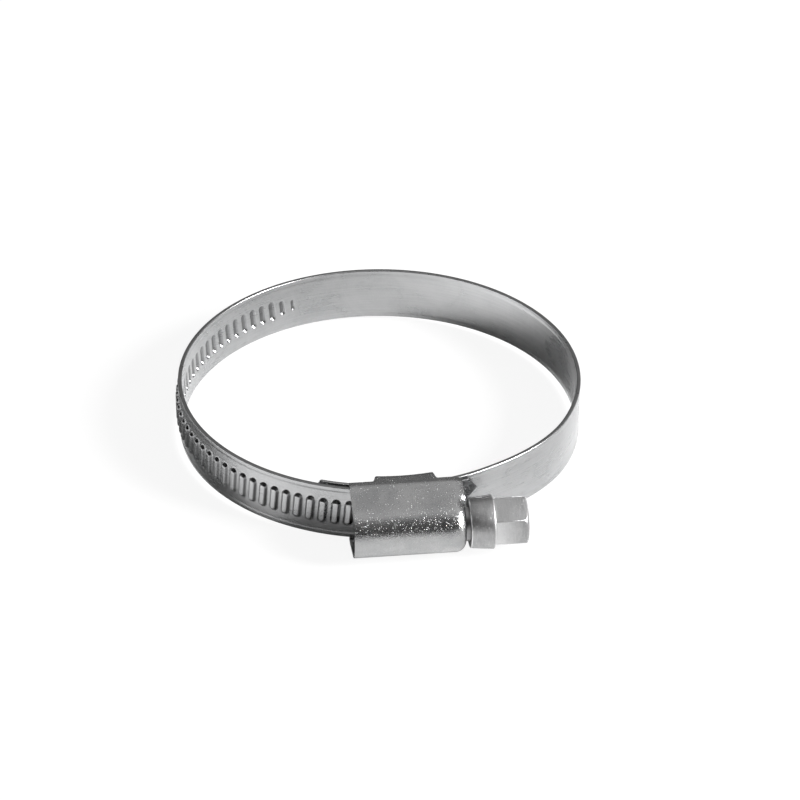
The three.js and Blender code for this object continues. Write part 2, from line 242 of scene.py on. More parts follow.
# each look also sets how strong its painted shade and its painted crystal highlights are
bandLook = {
    "along": True, "lineLength": 120.0, "lineFineness": 5200.0, "crystals": 5200.0, "glints": 3000.0,
    "dark": (0.47, 0.475, 0.48), "light": (0.57, 0.572, 0.575), "bare": (0.50, 0.50, 0.50),
    "lineTone": 0.5, "smudgeTone": 0.6, "grainTone": 0.3, "rimWear": 0.4,
    "rough": 0.17, "lineRough": 0.10, "smudgeRough": 0.14, "glintRough": 0.0, "paintedGlintTone": 0.0,
    "paintedShade": 0.62,
    "grainHeight": 0.000008, "glintHeight": 0.0, "lineHeight": 0.000004, "waveHeight": 0.000006,
    "scratchHeight": 0.0000006,
}
housingLook = {
    "along": False, "lineLength": 300.0, "lineFineness": 1800.0, "crystals": 5200.0, "glints": 7200.0,
    "dark": (0.44, 0.445, 0.45), "light": (0.60, 0.60, 0.60), "bare": (0.85, 0.85, 0.85),
    "lineTone": 0.2, "smudgeTone": 1.0, "grainTone": 0.4, "rimWear": 0.7,
    "rough": 0.16, "lineRough": 0.04, "smudgeRough": 0.10, "glintRough": 0.22, "paintedGlintTone": 0.22,
    "paintedShade": 0.0,
    "grainHeight": 0.00004, "glintHeight": 0.00003, "lineHeight": 0.000002, "waveHeight": 0.000006,
    "scratchHeight": 0.000001,
}
screwLook = {
    "along": False, "lineLength": 4200.0, "lineFineness": 500.0, "crystals": 4600.0, "glints": 3400.0,
    "dark": (0.34, 0.34, 0.345), "light": (0.50, 0.50, 0.50), "bare": (0.88, 0.88, 0.88),
    "lineTone": 0.5, "smudgeTone": 0.7, "grainTone": 0.4, "rimWear": 0.8,
    "rough": 0.31, "lineRough": 0.08, "smudgeRough": 0.12, "glintRough": 0.12, "paintedGlintTone": 0.2,
    "paintedShade": 0.0,
    "grainHeight": 0.00003, "glintHeight": 0.00001, "lineHeight": 0.000004, "waveHeight": 0.000006,
    "scratchHeight": 0.000001,
}
bandSteel = steel("satin band steel", bandLook)
housingSteel = steel("speckled housing steel", housingLook)
screwSteel = steel("turned screw steel", screwLook)
print("finishes ready")


def bake(obj, name):
    # the evaluated shape as a plain mesh of its own
    graph = bpy.context.evaluated_depsgraph_get()
    mesh = bpy.data.meshes.new_from_object(obj.evaluated_get(graph), depsgraph=graph)
    obj.modifiers.clear()
    old = obj.data
    obj.data = mesh
    bpy.data.meshes.remove(old)
    obj.name = name
    mesh.name = name
    return obj


def finishMesh(obj, material, sharpFrom=38.0, wearFrom=None):
    mesh = obj.data
    shape = bmesh.new()
    shape.from_mesh(mesh)
    bmesh.ops.recalc_face_normals(shape, faces=shape.faces)
    if wearFrom is not None:
        layer = shape.verts.layers.float.get("rimWear") or shape.verts.layers.float.new("rimWear")
        for vert in shape.verts:
            turn = 0.0
            for edge in vert.link_edges:
                if len(edge.link_faces) == 2:
                    turn = max(turn, edge.calc_face_angle_signed(0.0))
            vert[layer] = min(1.0, max(0.0, (math.degrees(turn) - wearFrom) / wearFrom))
    for face in shape.faces:
        face.smooth = True
    shape.to_mesh(mesh)
    shape.free()
    mesh.set_sharp_from_angle(angle=math.radians(sharpFrom))
    mesh.materials.clear()
    mesh.materials.append(material)
    for polygon in mesh.polygons:
        polygon.material_index = 0
    return obj


def newObject(name, mesh):
    obj = bpy.data.objects.new(name, mesh)
    bpy.context.scene.collection.objects.link(obj)
    return obj


def fromShape(shape, name):
    mesh = bpy.data.meshes.new(name)
    shape.to_mesh(mesh)
    shape.free()
    return newObject(name, mesh)


def roundEdges(obj, width, segments, fromAngle):
    soft = obj.modifiers.new("edges", "BEVEL")
    soft.width = width * mm
    soft.segments = segments
    soft.limit_method = "ANGLE"
    soft.angle_limit = math.radians(fromAngle)


def smooth(t):
    t = max(0.0, min(1.0, t))
    return t * t * (3 - 2 * t)


def setInputs(modifier, tree, values):
    # by identifier, before the first evaluation
    names = {item.name: item.identifier for item in tree.interface.items_tree
             if item.item_type == "SOCKET" and item.in_out == "INPUT"}
    for label, value in values.items():
        modifier[names[label]] = value


stripInputs = [
    ("From Angle", "NodeSocketFloat", 0.0), ("To Angle", "NodeSocketFloat", 14.4),
    ("Columns", "NodeSocketInt", 72), ("Rows", "NodeSocketInt", 73),
    ("Outer Radius", "NodeSocketFloat", 31.66 * mm), ("Inner Radius", "NodeSocketFloat", 30.7 * mm),
    ("Rise From", "NodeSocketFloat", 25.0), ("Rise To", "NodeSocketFloat", 60.0),
    ("Width", "NodeSocketFloat", 9 * mm), ("Thickness", "NodeSocketFloat", 0.65 * mm),
    ("Corner", "NodeSocketFloat", 0.13 * mm), ("Rim Height", "NodeSocketFloat", 0.05 * mm),
    ("Rim Width", "NodeSocketFloat", 0.95 * mm), ("End Rounding", "NodeSocketFloat", 0.0),
    ("Fishtail", "NodeSocketFloat", 0.0), ("Notch", "NodeSocketFloat", 2.6 * mm),
    ("Prong Inset", "NodeSocketFloat", 1.9 * mm), ("Prong Chamfer", "NodeSocketFloat", 1.5 * mm),
    ("Thread Angle", "NodeSocketFloat", 3.6), ("First Thread", "NodeSocketFloat", -4.0),
    ("Last Full Thread", "NodeSocketFloat", 42.0), ("Last Thread", "NodeSocketFloat", 44.0),
    ("Thread Fade", "NodeSocketFloat", 0.225), ("Thread Height", "NodeSocketFloat", 0.5 * mm),
    ("Thread Base", "NodeSocketFloat", 1.6 * mm), ("Thread Top", "NodeSocketFloat", 0.6 * mm),
    ("Thread Length", "NodeSocketFloat", 4.6 * mm), ("Recess Share", "NodeSocketFloat", 0.82),
    ("Lean", "NodeSocketFloat", 5.5), ("Axis", "NodeSocketVector", None),
    ("Steel", "NodeSocketMaterial", None),
]


pressing = {
    "endFade": 8.0, "rimRise": 0.4, "wallShade": 0.8, "shadowStops": 12.0, "shadowFull": 6.0,
}


def makeStripFace():
    # one face of the strip: a grid laid round the ring, pushed out where a thread is pressed
    tree, source, sink = newTree(
        "strip face", "GeometryNodeTree", stripInputs + [("Side", "NodeSocketFloat", 1.0)],
        [("Geometry", "NodeSocketGeometry")],
    )
    given = source.outputs
    maths = partial(calc, tree)
    half = maths("MULTIPLY", given["Width"], 0.5)
    halfSheet = maths("MULTIPLY", given["Thickness"], 0.5)
    degree = math.pi / 180
    grid = addNode(tree, "GeometryNodeMeshGrid",
                   {"Size X": 1.0, "Size Y": 1.0, "Vertices X": given["Columns"],
                    "Vertices Y": given["Rows"]})
    onGrid = addNode(tree, "GeometryNodeInputPosition").outputs[0]
    flat = addNode(tree, "ShaderNodeSeparateXYZ", {0: onGrid})
    u = maths("ADD", flat.outputs[0], 0.5)
    across = maths("MULTIPLY", half, maths("SINE", maths("MULTIPLY", flat.outputs[1], math.pi)))
    away = maths("ABSOLUTE", across)

    prong = maths("SUBTRACT", half, given["Prong Inset"])
    notch = maths("MAXIMUM", maths("SUBTRACT", 1.0, maths("DIVIDE", away, prong)), 0.0)
    chamfer = maths("MAXIMUM", maths("DIVIDE", maths("SUBTRACT", away, prong), given["Prong Inset"]), 0.0)
    cut = maths("ADD", maths("MULTIPLY", notch, given["Notch"]),
                maths("MULTIPLY", chamfer, given["Prong Chamfer"]))
    cut = maths("MULTIPLY", cut, given["Fishtail"])
    past = maths("MAXIMUM", maths("SUBTRACT", away, maths("SUBTRACT", half, given["End Rounding"])), 0.0)
    bow = maths("SUBTRACT", maths("MULTIPLY", given["End Rounding"], given["End Rounding"]),
                maths("MULTIPLY", past, past))
    rounding = maths("SUBTRACT", given["End Rounding"], maths("SQRT", maths("MAXIMUM", bow, 0.0)))
    nearStart = maths("POWER", maths("SUBTRACT", 1.0, u), pressing["endFade"])
    nearEnd = maths("POWER", u, pressing["endFade"])
    startShift = maths("MULTIPLY", maths("ADD", cut, rounding), nearStart)
    endShift = maths("MULTIPLY", rounding, nearEnd)
    shift = maths("DIVIDE", maths("SUBTRACT", startShift, endShift),
                  maths("MULTIPLY", given["Outer Radius"], degree))
    span = maths("SUBTRACT", given["To Angle"], given["From Angle"])
    angle = maths("ADD", maths("MULTIPLY_ADD", span, u, given["From Angle"]), shift)

    right = maths("SUBTRACT", 360.0, angle)
    middle = ease(tree, right, given["Rise From"], given["Rise To"], given["Inner Radius"],
                  given["Outer Radius"])

    # nearest thread, counted along its lean
    pitch = maths("MULTIPLY", maths("MULTIPLY", given["Thread Angle"], degree), given["Outer Radius"])
    leaning = maths("MULTIPLY", across, maths("TANGENT", maths("MULTIPLY", given["Lean"], degree)))
    count = maths("ADD", maths("DIVIDE", angle, given["Thread Angle"]), maths("DIVIDE", leaning, pitch))
    nearest = maths("MINIMUM", maths("MAXIMUM", maths("ROUND", count), given["First Thread"]),
                    given["Last Thread"])
    offset = maths("MULTIPLY", maths("SUBTRACT", count, nearest), pitch)
    beyond = maths("MAXIMUM", maths("SUBTRACT", nearest, given["Last Full Thread"]), 0.0)
    size = maths("SUBTRACT", 1.0, maths("MULTIPLY", beyond, given["Thread Fade"]))
    inside = maths("MULTIPLY", maths("SUBTRACT", 1.0, given["Side"]), 0.5)
    share = maths("SUBTRACT", 1.0, maths("MULTIPLY", inside, maths("SUBTRACT", 1.0, given["Recess Share"])))
    size = maths("MULTIPLY", size, share)
    straight = maths("MULTIPLY", maths("SUBTRACT", given["Thread Length"], given["Thread Base"]), 0.5)
    reach = maths("MAXIMUM", maths("SUBTRACT", away, maths("MULTIPLY", straight, size)), 0.0)
    distance = maths("SQRT", maths("ADD", maths("MULTIPLY", offset, offset),
                                   maths("MULTIPLY", reach, reach)))
    foot = maths("MULTIPLY", maths("MULTIPLY", given["Thread Base"], 0.5), size)
    top = maths("MULTIPLY", maths("MULTIPLY", given["Thread Top"], 0.5), size)
    pressed = ease(tree, distance, foot, top)
    # painted shade: darker on the steep walls of the threads, and on the floor of the recesses on the
    # inside
    wall = maths("MULTIPLY", pressed, maths("SUBTRACT", 1.0, pressed))
    wall = maths("MULTIPLY", wall, 4.0)    # makes it 1 half way up
    paintedShade = maths("MAXIMUM", maths("MULTIPLY", wall, pressing["wallShade"]),
                  maths("MULTIPLY", pressed, inside))
    # painted shadow: the tail darkens towards its cut end, where the housing and the screw head shade it
    paintedTailShadow = ease(tree, maths("MULTIPLY", span, u), pressing["shadowStops"], pressing["shadowFull"])
    paintedTailShadow = maths("MULTIPLY", paintedTailShadow, given["Fishtail"])
    paintedShade = maths("MAXIMUM", paintedShade, paintedTailShadow)
    pressed = maths("MULTIPLY", maths("MULTIPLY", pressed, given["Thread Height"]), size)

    # rims turned up a little, and rounded corners
    rimStart = maths("SUBTRACT", half, given["Rim Width"])
    rimFull = maths("ADD", rimStart, maths("MULTIPLY", given["Rim Width"], pressing["rimRise"]))
    rim = ease(tree, away, rimStart, rimFull)
    rim = maths("MULTIPLY", rim, given["Rim Height"])
    corner = maths("MAXIMUM", maths("SUBTRACT", away, maths("SUBTRACT", half, given["Corner"])), 0.0)
    left = maths("SUBTRACT", maths("MULTIPLY", given["Corner"], given["Corner"]),
                 maths("MULTIPLY", corner, corner))
    drop = maths("SUBTRACT", given["Corner"], maths("SQRT", maths("MAXIMUM", left, 0.0)))
    skin = maths("MULTIPLY", maths("SUBTRACT", halfSheet, drop), given["Side"])
    radius = maths("ADD", maths("ADD", middle, skin), maths("ADD", pressed, rim))

    turn = maths("MULTIPLY", angle, degree)
    place = addNode(tree, "ShaderNodeCombineXYZ", {
        0: maths("MULTIPLY", maths("SINE", turn), maths("MULTIPLY", radius, -1.0)),
        1: maths("MULTIPLY", maths("COSINE", turn), maths("MULTIPLY", radius, -1.0)),
        2: across,
    })
    world = addNode(tree, "ShaderNodeVectorMath", {0: place.outputs[0], 1: given["Axis"]}, operation="ADD")
    along = addNode(tree, "ShaderNodeCombineXYZ", {0: maths("MULTIPLY", turn, given["Outer Radius"]),
                                                   1: across, 2: skin})
    named = addNode(tree, "GeometryNodeStoreNamedAttribute",
                    {"Geometry": grid.outputs[0], "Name": "alongBand", "Value": along.outputs[0]},
                    data_type="FLOAT_VECTOR", domain="POINT")
    edge = addNode(tree, "GeometryNodeStoreNamedAttribute",
                   {"Geometry": named.outputs[0], "Name": "rimWear",
                    "Value": ease(tree, corner, 0.0, given["Corner"])}, data_type="FLOAT", domain="POINT")
    dirty = addNode(tree, "GeometryNodeStoreNamedAttribute",
                    {"Geometry": edge.outputs[0], "Name": "paintedThreadShade", "Value": paintedShade},
                    data_type="FLOAT", domain="POINT")
    moved = addNode(tree, "GeometryNodeSetPosition",
                    {"Geometry": dirty.outputs[0], "Position": world.outputs[0]})
    tree.links.new(moved.outputs[0], sink.inputs[0])
    return tree


def makeRolledStrip(face):
    tree, source, sink = newTree("rolled strip", "GeometryNodeTree", stripInputs,
                                 [("Geometry", "NodeSocketGeometry")])
    sides = []
    for side in (1.0, -1.0):
        group = addNode(tree, "GeometryNodeGroup", node_tree=face)
        for item in stripInputs:
            tree.links.new(source.outputs[item[0]], group.inputs[item[0]])
        group.inputs["Side"].default_value = side
        sides.append(group.outputs[0])
    outside = addNode(tree, "GeometryNodeFlipFaces", {0: sides[0]})
    both = addNode(tree, "GeometryNodeJoinGeometry")
    tree.links.new(sides[1], both.inputs[0])
    tree.links.new(outside.outputs[0], both.inputs[0])
    whole = addNode(tree, "GeometryNodeRealizeInstances", {0: both.outputs[0]})
    painted = addNode(tree, "GeometryNodeSetMaterial",
                      {"Geometry": whole.outputs[0], "Material": source.outputs["Steel"]})
    tree.links.new(painted.outputs[0], sink.inputs[0])
    return tree


rolledStrip = makeRolledStrip(makeStripFace())


def closeStrip(obj):
    # joins the two faces along their whole border
    mesh = obj.data
    shape = bmesh.new()
    shape.from_mesh(mesh)
    shape.verts.ensure_lookup_table()
    count = len(shape.verts) // 2
    border = [edge for edge in shape.edges if edge.is_boundary]
    first = [edge for edge in border if edge.verts[0].index < count and edge.verts[1].index < count]
    for edge in first:
        a, b = edge.verts
        shape.faces.new((a, b, shape.verts[b.index + count], shape.verts[a.index + count]))
    shape.to_mesh(mesh)
    shape.free()


def strip(name, material, sizes):
    obj = newObject(name, bpy.data.meshes.new(name))
    modifier = obj.modifiers.new("strip", "NODES")
    modifier.node_group = rolledStrip
    setInputs(modifier, rolledStrip, {"Axis": hoseAxis, "Steel": material, **sizes})
    bake(obj, name)
    closeStrip(obj)
    return finishMesh(obj, material)


band = {
    "strapFrom": -21.65, "strapTo": 63.0, "hingeFirst": 70.2, "hingeStep": 28.8, "links": 10,
    "lastEnd": 350.0, "columnsPerThread": 18, "plainColumns": 56, "threadAngle": 3.6, "lastThread": 44,
    "firstBendSpan": 3.2, "bendSpan": 11.0, "rows": 81, "plainRows": 49,
}
noThreads = {"First Thread": 900.0, "Last Full Thread": 900.0, "Last Thread": 900.0}    # far off the strip


def makeBand():
    spans = [("strapFront", band["strapFrom"], band["strapTo"], 0)]
    for k in range(band["links"]):
        hinge = band["hingeFirst"] + k * band["hingeStep"]
        until = band["lastEnd"] if k == band["links"] - 1 else hinge + band["hingeStep"] / 2
        start = band["strapTo"] if k == 0 else hinge - band["hingeStep"] / 2
        spans.append((f"bandBend{k + 1:02d}", start, until, k + 1))
    for name, start, stop, number in spans:
        threads = (stop - start) / band["threadAngle"]
        plain = start > (band["lastThread"] + 1) * band["threadAngle"]
        columns = band["plainColumns"] if plain else round(threads * band["columnsPerThread"])
        sizes = {"From Angle": start, "To Angle": stop, "Columns": columns + 1,
                 "Fishtail": 0.0 if number else 1.0, "Rows": band["plainRows"] if plain else band["rows"]}
        piece = strip(name, bandSteel, sizes)
        if number == 0:
            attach(piece, "strap")
            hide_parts("toothed_strap")
            continue
        hinge = band["hingeFirst"] + (number - 1) * band["hingeStep"]
        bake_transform(piece)
        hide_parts(f"band_link_{number:02d}")


makeBand()
print("band made")

saddle = {
    "from": -8.6, "to": 23.7, "bed": 29.97, "tongue": 30.68, "stepFrom": 355.0, "stepTo": 357.0,
    "sheet": 0.58, "corner": 0.9, "columns": 111, "rows": 41,
}
fixedEnd = {"from": -8.2, "to": 2.3, "radius": 30.7, "columns": 41, "rows": 41}


def makeSaddle():
    # the bed under the hose side steps up to the tongue under the strap
    obj = strip("saddle", housingSteel, {
        "From Angle": saddle["from"], "To Angle": saddle["to"], "Columns": saddle["columns"],
        "Rows": saddle["rows"], "Inner Radius": saddle["tongue"] * mm, "Outer Radius": saddle["bed"] * mm,
        "Rise From": saddle["stepFrom"], "Rise To": saddle["stepTo"], "Thickness": saddle["sheet"] * mm,
        "Rim Height": 0.0, "End Rounding": saddle["corner"] * mm, **noThreads,
    })
    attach(obj, "housing")
    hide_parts("saddle")


def makeFixedEnd():
    obj = strip("bandFixedEnd", bandSteel, {
        "From Angle": fixedEnd["from"], "To Angle": fixedEnd["to"], "Columns": fixedEnd["columns"],
        "Rows": fixedEnd["rows"], "Inner Radius": fixedEnd["radius"] * mm,
        "Outer Radius": fixedEnd["radius"] * mm, "Rim Height": 0.0, **noThreads,
    })
    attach(obj, "housing")
    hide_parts("band_fixed_end")


makeSaddle()
makeFixedEnd()
print("saddle made")


shell = {
    "left": -7.8, "right": 9.2, "halfWidth": 5.3, "base": 30.6, "shoulder": 31.6, "crown": 4.25,
    "sheet": 0.65, "noseRadius": 1.6, "hole": 3.0, "noseFrom": 34.2, "noseFull": 35.6, "curl": 0.3,
    "lugHalf": 4.3, "lugRamp": 1.2, "lugRadius": 28.95, "lugBend": 0.78, "lipReach": 1.75, "columns": 96,
    "wallRows": 14, "foldRows": 2, "crownSteps": 36, "noseSteps": 12, "baseSteps": 5, "lugSteps": 16,
    "edgeRound": 0.12, "edgeFrom": 50, "mergeWithin": 0.004, "sliver": 0.002,
}


def shellRows():
    # the outside across the screw, from the right-hand wall's base over the crown: (across, outwards,
    # the normal's two parts)
    axisRise = (hoseAxis - screwAxis).y / mm
    down = axisRise - shell["shoulder"]
    reach = math.hypot(shell["halfWidth"], down)
    lean = math.acos(shell["crown"] / reach) - math.atan2(down, shell["halfWidth"])
    touch = (shell["crown"] * math.cos(lean), axisRise + shell["crown"] * math.sin(lean))
    rows = []
    for i in range(shell["wallRows"]):
        t = i / shell["wallRows"]
        z = shell["halfWidth"] + (touch[0] - shell["halfWidth"]) * t
        d = shell["shoulder"] + (touch[1] - shell["shoulder"]) * t
        soft = min(1.0, i / shell["foldRows"])    # the fold at the shoulder is soft
        rows.append((z, d, math.cos(lean * soft), math.sin(lean * soft)))
    for i in range(shell["crownSteps"] + 1):
        a = lean + (math.pi - 2 * lean) * i / shell["crownSteps"]
        rows.append((shell["crown"] * math.cos(a), axisRise + shell["crown"] * math.sin(a), math.cos(a),
                     math.sin(a)))
    for z, d, nz, nd in reversed(rows[:shell["wallRows"]]):
        rows.append((-z, d, -nz, nd))
    return rows


def lugLength(x):
    middle = (shell["left"] + shell["right"]) / 2
    return smooth((shell["lugHalf"] - abs(x - middle)) / shell["lugRamp"] + 0.5)


def lugPoint(x, e, sign):
    # along the lug from the wall's base: down, round the bend, and in under the band
    bend = shell["lugBend"]
    floor = math.sqrt(shell["lugRadius"] ** 2 - x * x)
    straight = shell["base"] - floor - bend
    arc = bend * math.pi / 2
    if e < straight:
        d, z = shell["base"] - e, shell["halfWidth"]
    elif e < straight + arc:
        a = (e - straight) / bend
        d = floor + bend * (1 - math.sin(a))
        z = shell["halfWidth"] - bend * (1 - math.cos(a))
    else:
        d, z = floor, shell["halfWidth"] - bend - (e - straight - arc)
    return (x, d, sign * z)


def makeShell():
    rows = shellRows()
    bendStart = shell["right"] - shell["noseRadius"]
    straightColumns = [shell["left"] + (bendStart - shell["left"]) * i / shell["columns"]
                       for i in range(shell["columns"] + 1)]
    turnFull = math.acos(1 - (shell["crown"] - shell["hole"]) / shell["noseRadius"])
    noseSteps, lugSteps = shell["noseSteps"], shell["lugSteps"]
    shape = bmesh.new()

    def toWorld(x, d, z):
        return shape.verts.new(hoseAxis + Vector((x, -d, z)) * mm)

    fullLug = (shell["base"] - shell["lugRadius"] - shell["lugBend"] + shell["lugBend"] * math.pi / 2
               + shell["lipReach"])
    grid = []
    for column in range(shell["columns"] + 1 + noseSteps):
        nose = max(0, column - shell["columns"]) / noseSteps
        x = straightColumns[min(column, shell["columns"])]
        line = []

        def rolled(z, d, nz, nd):
            # past the bend the sheet rolls in towards the screw's neck, most at the crown
            if nose == 0:
                return (x, d, z)
            rise = smooth((d - shell["noseFrom"]) / (shell["noseFull"] - shell["noseFrom"]))
            full = shell["curl"] + (1 - shell["curl"]) * rise
            turn = turnFull * full
            length = shell["noseRadius"] * (1 + (turnFull - 1) * full)
            bend = length / turn
            inward = bend * (1 - math.cos(nose * turn))
            return (x + bend * math.sin(nose * turn), d - nd * inward, z - nz * inward)

        for sign in (1, -1):
            base = shell["base"]
            if nose > 0:
                px, pd, pz = rolled(shell["halfWidth"], base, 1.0, 0.0)
                side = [(px, pd, sign * pz)] * lugSteps
            else:
                reach = fullLug * lugLength(x)
                side = [lugPoint(x, reach * i / lugSteps, sign) for i in range(lugSteps, 0, -1)]
            for i in range(shell["baseSteps"]):
                d = base + (shell["shoulder"] - base) * i / shell["baseSteps"]
                px, pd, pz = rolled(shell["halfWidth"], d, 1.0, 0.0)
                side.append((px, pd, sign * pz))
            if sign == 1:
                line.extend(side)
                line.extend(rolled(*row) for row in rows)
            else:
                line.extend(reversed(side))
        grid.append([toWorld(*point) for point in line])
    for a, b in zip(grid, grid[1:]):
        for i in range(len(a) - 1):
            shape.faces.new((a[i], b[i], b[i + 1], a[i + 1]))
    bmesh.ops.remove_doubles(shape, verts=shape.verts, dist=shell["mergeWithin"] * mm)
    bmesh.ops.dissolve_degenerate(shape, edges=shape.edges, dist=shell["sliver"] * mm)
    bmesh.ops.recalc_face_normals(shape, faces=shape.faces)
    top = max(shape.faces, key=lambda face: -face.calc_center_median().y)
    if top.normal.y > 0:
        bmesh.ops.reverse_faces(shape, faces=shape.faces)
    obj = fromShape(shape, "housingShell")
    wall = obj.modifiers.new("sheet", "SOLIDIFY")
    wall.thickness = shell["sheet"] * mm
    wall.offset = -1.0
    wall.use_even_offset = True
    roundEdges(obj, shell["edgeRound"], 2, shell["edgeFrom"])
    bake(obj, "housingShell")
    finishMesh(obj, housingSteel, sharpFrom=42, wearFrom=18)
    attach(obj, "housing")
    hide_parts("housing_shell")


makeShell()
print("housing made")


worm = {
    "left": -6.5, "right": 8.2, "crest": 3.35, "root": 2.8, "neck": 2.7, "neckTo": 10.1, "pitch": 2.0277,
    "crestWidth": 0.5, "footWidth": 1.05, "runOut": 0.9, "perPitch": 14, "round": 72, "crestShare": 0.4,
    "neckStep": 0.2, "nib": 0.4, "nibShare": 0.9, "mergeWithin": 0.001,
}
wormSizes = {
    "Left": worm["left"], "Right": worm["right"], "Neck End": worm["neckTo"], "Crest": worm["crest"],
    "Root": worm["root"], "Neck": worm["neck"], "Pitch": worm["pitch"], "Crest Width": worm["crestWidth"],
    "Foot Width": worm["footWidth"], "Run Out": worm["runOut"],
}


def makeWormTree():
    tree, source, sink = newTree(
        "worm thread", "GeometryNodeTree",
        [(label, "NodeSocketFloat", size * mm) for label, size in wormSizes.items()]
        + [("Columns", "NodeSocketInt", 120), ("Around", "NodeSocketInt", 73),
           ("Axis", "NodeSocketVector", None), ("Steel", "NodeSocketMaterial", None)],
        [("Geometry", "NodeSocketGeometry")],
    )
    given = source.outputs
    maths = partial(calc, tree)
    grid = addNode(tree, "GeometryNodeMeshGrid",
                   {"Size X": 1.0, "Size Y": 1.0, "Vertices X": given["Columns"],
                    "Vertices Y": given["Around"]})
    onGrid = addNode(tree, "GeometryNodeInputPosition").outputs[0]
    flat = addNode(tree, "ShaderNodeSeparateXYZ", {0: onGrid})
    u = maths("ADD", flat.outputs[0], 0.5)
    turn = maths("MULTIPLY", flat.outputs[1], 2 * math.pi)
    last = maths("SUBTRACT", given["Columns"], 1.0)
    column = maths("ROUND", maths("MULTIPLY", u, last))
    inner = maths("DIVIDE", maths("SUBTRACT", column, 1.0), maths("SUBTRACT", last, 2.0))
    inner = maths("MINIMUM", maths("MAXIMUM", inner, 0.0), 1.0)
    x = maths("MULTIPLY_ADD", maths("SUBTRACT", given["Neck End"], given["Left"]), inner, given["Left"])
    capped = maths("MULTIPLY", maths("GREATER_THAN", column, 0.5),
                   maths("LESS_THAN", column, maths("SUBTRACT", last, 0.5)))
    # how far this place is from the nearest turn of the thread
    turns = maths("SUBTRACT", maths("DIVIDE", maths("SUBTRACT", x, maths("MULTIPLY", given["Pitch"], 0.5)),
                                    given["Pitch"]), maths("DIVIDE", turn, 2 * math.pi))
    distance = maths("MULTIPLY", maths("ABSOLUTE", maths("SUBTRACT", turns, maths("ROUND", turns))),
                     given["Pitch"])
    ridge = ease(tree, distance, maths("MULTIPLY", given["Foot Width"], 0.5),
                 maths("MULTIPLY", given["Crest Width"], worm["crestShare"]))
    start = ease(tree, maths("SUBTRACT", x, given["Left"]), 0.0, given["Run Out"])
    stop = ease(tree, maths("SUBTRACT", given["Right"], x), 0.0, given["Run Out"])
    ridge = maths("MULTIPLY", ridge, maths("MULTIPLY", start, stop))
    step = ease(tree, maths("SUBTRACT", x, given["Right"]), 0.0, worm["neckStep"] * mm, given["Root"],
                given["Neck"])
    radius = maths("MULTIPLY_ADD", ridge, maths("SUBTRACT", given["Crest"], given["Root"]), step)
    nib = ease(tree, maths("SUBTRACT", x, given["Left"]), 0.0, worm["nib"] * mm, worm["nibShare"], 1.0)
    radius = maths("MULTIPLY", maths("MULTIPLY", radius, nib), capped)
    place = addNode(tree, "ShaderNodeCombineXYZ", {
        0: x,
        1: maths("MULTIPLY", radius, maths("COSINE", turn)),
        2: maths("MULTIPLY", radius, maths("SINE", turn)),
    })
    world = addNode(tree, "ShaderNodeVectorMath", {0: place.outputs[0], 1: given["Axis"]}, operation="ADD")
    moved = addNode(tree, "GeometryNodeSetPosition", {"Geometry": grid.outputs[0],
                                                      "Position": world.outputs[0]})
    joined = addNode(tree, "GeometryNodeMergeByDistance",
                     {"Geometry": moved.outputs[0], "Distance": worm["mergeWithin"] * mm})
    whole = addNode(tree, "GeometryNodeRealizeInstances", {0: joined.outputs[0]})
    painted = addNode(tree, "GeometryNodeSetMaterial", {"Geometry": whole.outputs[0],
                                                        "Material": given["Steel"]})
    tree.links.new(painted.outputs[0], sink.inputs[0])
    return tree


def makeWorm():
    tree = makeWormTree()
    obj = newObject("wormThread", bpy.data.meshes.new("wormThread"))
    modifier = obj.modifiers.new("thread", "NODES")
    modifier.node_group = tree
    axis = Vector((hoseAxis.x, screwAxis.y, screwAxis.z))
    columns = round((worm["neckTo"] - worm["left"]) / worm["pitch"] * worm["perPitch"])
    setInputs(modifier, tree, {
        **{label: size * mm for label, size in wormSizes.items()}, "Columns": columns,
        "Around": worm["round"] + 1, "Axis": axis, "Steel": screwSteel,
    })
    bake(obj, "wormThread")
    finishMesh(obj, screwSteel, wearFrom=12)
    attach(obj, "screw")
    return obj


def revolve(name, profile, sides=96):
    # closed turned solid on the screw's axis, from (place along x, radius) pairs in millimetres
    shape = bmesh.new()
    rings = []
    for x, radius in profile:
        if radius == 0:
            rings.append([shape.verts.new((hoseAxis.x + x * mm, screwAxis.y, screwAxis.z))])
            continue
        ring = []
        for i in range(sides):
            a = 2 * math.pi * i / sides
            ring.append(shape.verts.new((hoseAxis.x + x * mm, screwAxis.y + radius * mm * math.cos(a),
                                         screwAxis.z + radius * mm * math.sin(a))))
        rings.append(ring)
    for a, b in zip(rings, rings[1:]):
        for i in range(sides):
            j = (i + 1) % sides
            corners = []
            for vert in (a[i % len(a)], a[j % len(a)], b[j % len(b)], b[i % len(b)]):
                if vert not in corners:
                    corners.append(vert)
            shape.faces.new(corners)
    bmesh.ops.recalc_face_normals(shape, faces=shape.faces)
    return fromShape(shape, name)


head = {
    "collarFrom": 9.8, "collarTo": 13.5, "collarLeft": 3.8, "collarRight": 4.15, "collarRound": 0.22,
    "tip": 18.6, "acrossFlats": 7.0, "cornerTurn": 33.7, "intoCollar": 0.3, "cornerRound": 0.14,
    "endRound": 1.15, "domeTurn": 0.86, "domeSteps": 8, "domeClear": 0.02, "domeBack": 0.3,
    "slotWidth": 1.1, "slotDepth": 1.8, "edgeRound": 0.07,
}


